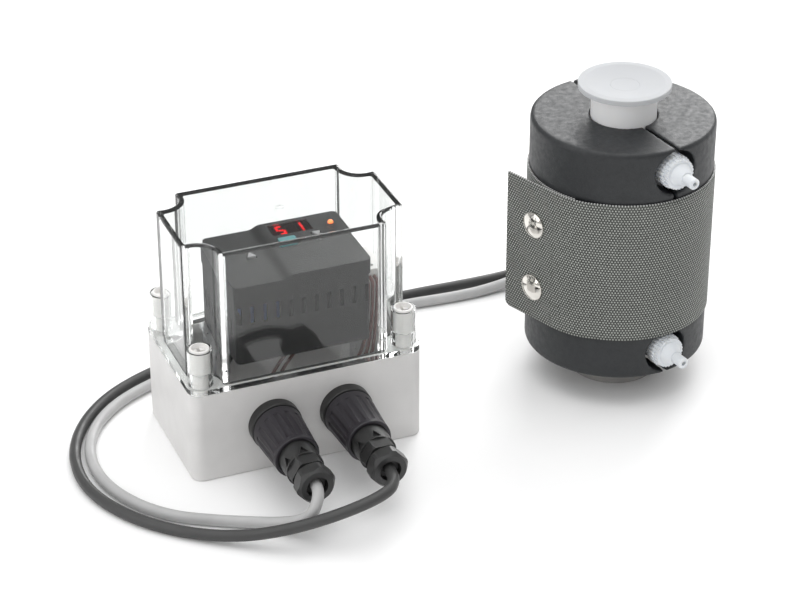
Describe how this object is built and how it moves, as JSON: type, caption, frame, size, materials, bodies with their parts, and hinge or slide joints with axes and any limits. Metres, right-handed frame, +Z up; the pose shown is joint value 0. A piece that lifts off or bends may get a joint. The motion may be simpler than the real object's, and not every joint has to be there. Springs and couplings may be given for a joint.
{
  "type": "heated filter capsule with temperature controller",
  "caption": "Filter capsule in a foam heating jacket with a woven band and two vent valves, cabled to a temperature controller under a deep clear lid.",
  "frame": {"origin": "centre of the lower port at the underside of the filter's foot, on the surface both units stand on", "axes": "+Z up along the filter; +X along the enclosure's long side, from the enclosure towards the filter; +Y from the enclosure's connector side to its back"},
  "size_m": [0.3788, 0.229, 0.175],
  "materials": {
    "enclosure_grey": "fine textured moulded plastic",
    "gasket_rubber": "soft black rubber",
    "clear_lid": "clear polycarbonate, glossy",
    "plated_sheet": "zinc plated",
    "housing_black": "matt black moulded plastic",
    "display_window": "dark red tinted window",
    "digit_red": "lit red segments",
    "led_orange": "lit orange lens",
    "key_grey": "soft grey key",
    "key_teal": "teal key",
    "board_green": "solder mask",
    "relay_blue": "moulded case",
    "terminal_white": "off-white moulded plastic",
    "wire_red": "brown and red insulation",
    "connector_black": "glass filled nylon, satin",
    "cable_black": "satin sheath",
    "cable_grey": "satin sheath",
    "capsule_white": "translucent white polypropylene",
    "membrane": "pleated membrane",
    "foot_metal": "bead blasted, warm grey",
    "heater_silicone": "silicone sheet",
    "foam": "closed cell foam, fine skin",
    "band_mesh": "coated woven mesh, light flecks",
    "nickel": "polished nickel",
    "valve_white": "translucent natural nylon",
    "screw_cream": "moulded plastic"
  },
  "bodies": {
    "root": {"enclosure_base": "enclosure_grey", "lid_gasket": "gasket_rubber", "controller_bracket": "plated_sheet", "bracket_screws": "plated_sheet", "controller_housing": "housing_black", "controller_bezel": "housing_black", "display_window": "display_window", "display_module": "housing_black", "display_digits": "digit_red", "status_led": "led_orange", "circuit_board": "board_green", "power_relay": "relay_blue", "terminal_block": "terminal_white", "control_wires": "wire_red", "supply_gland": "connector_black", "supply_blanking_plug": "connector_black", "heater_cable": "cable_black", "sensor_cable": "cable_grey", "capsule_shell": "capsule_white", "upper_port": "capsule_white", "valve_orings": "gasket_rubber", "pleated_membrane": "membrane", "filter_core": "capsule_white", "filter_end_caps": "capsule_white", "foot_adapter": "foot_metal", "heater_mat": "heater_silicone", "temperature_sensor": "foot_metal", "foam_shell_left": "foam", "foam_shell_right": "foam", "band_wrap": "band_mesh", "snap_studs": "nickel", "socket_locknuts": "connector_black", "gland_seals": "gasket_rubber", "heater_cable_grommet": "gasket_rubber", "sensor_cable_grommet": "gasket_rubber", "panel_socket_left": "connector_black", "plug_body_left": "connector_black", "socket_insert_left": "connector_black", "panel_socket_right": "connector_black", "plug_body_right": "connector_black", "socket_insert_right": "connector_black"},
    "lid": {"enclosure_lid": "clear_lid"},
    "screw_front_left": {"lid_screw_front_left": "screw_cream"},
    "screw_front_right": {"lid_screw_front_right": "screw_cream"},
    "screw_rear_left": {"lid_screw_rear_left": "screw_cream"},
    "screw_rear_right": {"lid_screw_rear_right": "screw_cream"},
    "key_up": {"key_up": "key_grey"},
    "key_down": {"key_down": "key_grey"},
    "key_set": {"key_set": "key_teal"},
    "sleeve_left": {"plug_sleeve_left": "connector_black"},
    "nut_left": {"gland_nut_left": "connector_black"},
    "sleeve_right": {"plug_sleeve_right": "connector_black"},
    "nut_right": {"gland_nut_right": "connector_black"},
    "knob_upper": {"valve_knob_upper": "valve_white"},
    "knob_lower": {"valve_knob_lower": "valve_white"},
    "band_tail": {"band_tail": "band_mesh", "snap_sockets": "nickel", "snap_cap_upper": "nickel", "snap_cap_lower": "nickel"},
    "flange_plug": {"flange_plug": "capsule_white"}
  },
  "joints": [
    {"name": "lid_lift", "type": "slide", "parent": "root", "child": "lid", "axis": [0, 0, 1], "range_m": [0, 0.09]},
    {"name": "screw_front_left_turn", "type": "hinge", "parent": "lid", "child": "screw_front_left", "pos_m": [-0.2508, -0.0228, 0.064], "axis": [0, 0, 1], "continuous": true},
    {"name": "screw_front_right_turn", "type": "hinge", "parent": "lid", "child": "screw_front_right", "pos_m": [-0.1372, -0.0228, 0.064], "axis": [0, 0, 1], "continuous": true},
    {"name": "screw_rear_left_turn", "type": "hinge", "parent": "lid", "child": "screw_rear_left", "pos_m": [-0.2508, 0.0408, 0.064], "axis": [0, 0, 1], "continuous": true},
    {"name": "screw_rear_right_turn", "type": "hinge", "parent": "lid", "child": "screw_rear_right", "pos_m": [-0.1372, 0.0408, 0.064], "axis": [0, 0, 1], "continuous": true},
    {"name": "key_up_press", "type": "slide", "parent": "root", "child": "key_up", "axis": [0, 0, -1], "range_m": [0, 0.0008], "stiffness_N_per_m": 400, "springref_m": -0.0004},
    {"name": "key_down_press", "type": "slide", "parent": "root", "child": "key_down", "axis": [0, 0, -1], "range_m": [0, 0.0008], "stiffness_N_per_m": 400, "springref_m": -0.0004},
    {"name": "key_set_press", "type": "slide", "parent": "root", "child": "key_set", "axis": [0, 0, -1], "range_m": [0, 0.0008], "stiffness_N_per_m": 400, "springref_m": -0.0004},
    {"name": "sleeve_left_turn", "type": "hinge", "parent": "root", "child": "sleeve_left", "pos_m": [-0.214, -0.05, 0.028], "axis": [0, 1, 0], "continuous": true},
    {"name": "nut_left_turn", "type": "hinge", "parent": "root", "child": "nut_left", "pos_m": [-0.214, -0.092, 0.028], "axis": [0, 1, 0], "continuous": true},
    {"name": "sleeve_right_turn", "type": "hinge", "parent": "root", "child": "sleeve_right", "pos_m": [-0.174, -0.05, 0.028], "axis": [0, 1, 0], "continuous": true},
    {"name": "nut_right_turn", "type": "hinge", "parent": "root", "child": "nut_right", "pos_m": [-0.174, -0.092, 0.028], "axis": [0, 1, 0], "continuous": true},
    {"name": "valve_upper_turn", "type": "hinge", "parent": "root", "child": "knob_upper", "pos_m": [0.00782, -0.04938, 0.142], "axis": [0.1564, -0.9877, 0], "continuous": true},
    {"name": "valve_lower_turn", "type": "hinge", "parent": "root", "child": "knob_lower", "pos_m": [0.00782, -0.04938, 0.0324], "axis": [0.1564, -0.9877, 0], "continuous": true},
    {"name": "band_tail_swing", "type": "hinge", "parent": "root", "child": "band_tail", "pos_m": [-0.04852, -0.01863, 0.08485], "axis": [0, 0, 1], "range_deg": [0, 75]},
    {"name": "flange_plug_pull", "type": "slide", "parent": "root", "child": "flange_plug", "axis": [0, 0, 1], "range_m": [0, 0.03]}
  ]
}
